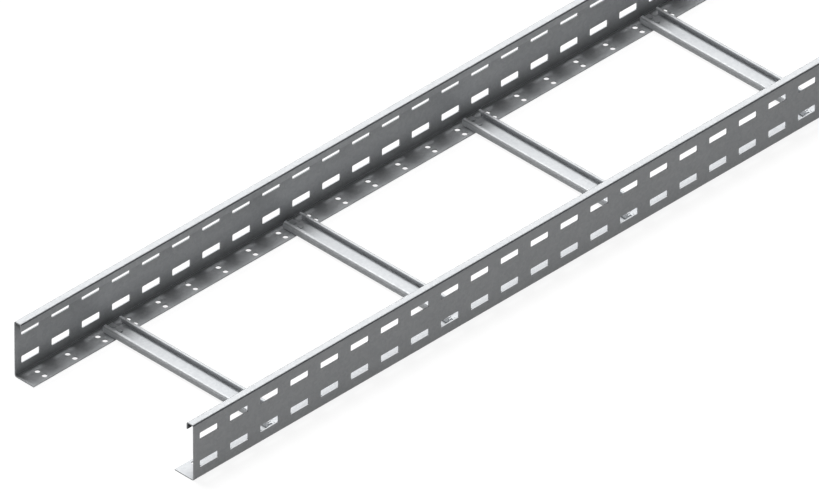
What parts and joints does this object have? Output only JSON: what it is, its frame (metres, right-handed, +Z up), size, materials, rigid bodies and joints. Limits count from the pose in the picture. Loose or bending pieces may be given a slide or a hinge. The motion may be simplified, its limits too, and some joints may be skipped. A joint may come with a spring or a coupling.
{
  "type": "cable ladder section",
  "caption": "Straight cable ladder section: two perforated side rails with inward flanges and lips, joined by lipped channel rungs. Galvanised steel.",
  "frame": {"origin": "middle of the footprint, on the surface that the bottom flanges rest on", "axes": "+X along the side rails, +Y across the ladder to the right rail, +Z up out of the cable trough"},
  "size_m": [3, 0.3, 0.08],
  "materials": {
    "galvanised_steel": "pre-galvanised sheet, satin, roll-formed and punched"
  },
  "bodies": {
    "root": {"side_rail_left": "galvanised_steel", "side_rail_right": "galvanised_steel", "rung_01": "galvanised_steel", "rung_02": "galvanised_steel", "rung_03": "galvanised_steel", "rung_04": "galvanised_steel", "rung_05": "galvanised_steel", "rung_06": "galvanised_steel", "rung_07": "galvanised_steel", "rung_08": "galvanised_steel", "rung_09": "galvanised_steel", "rung_10": "galvanised_steel"}
  },
  "joints": []
}
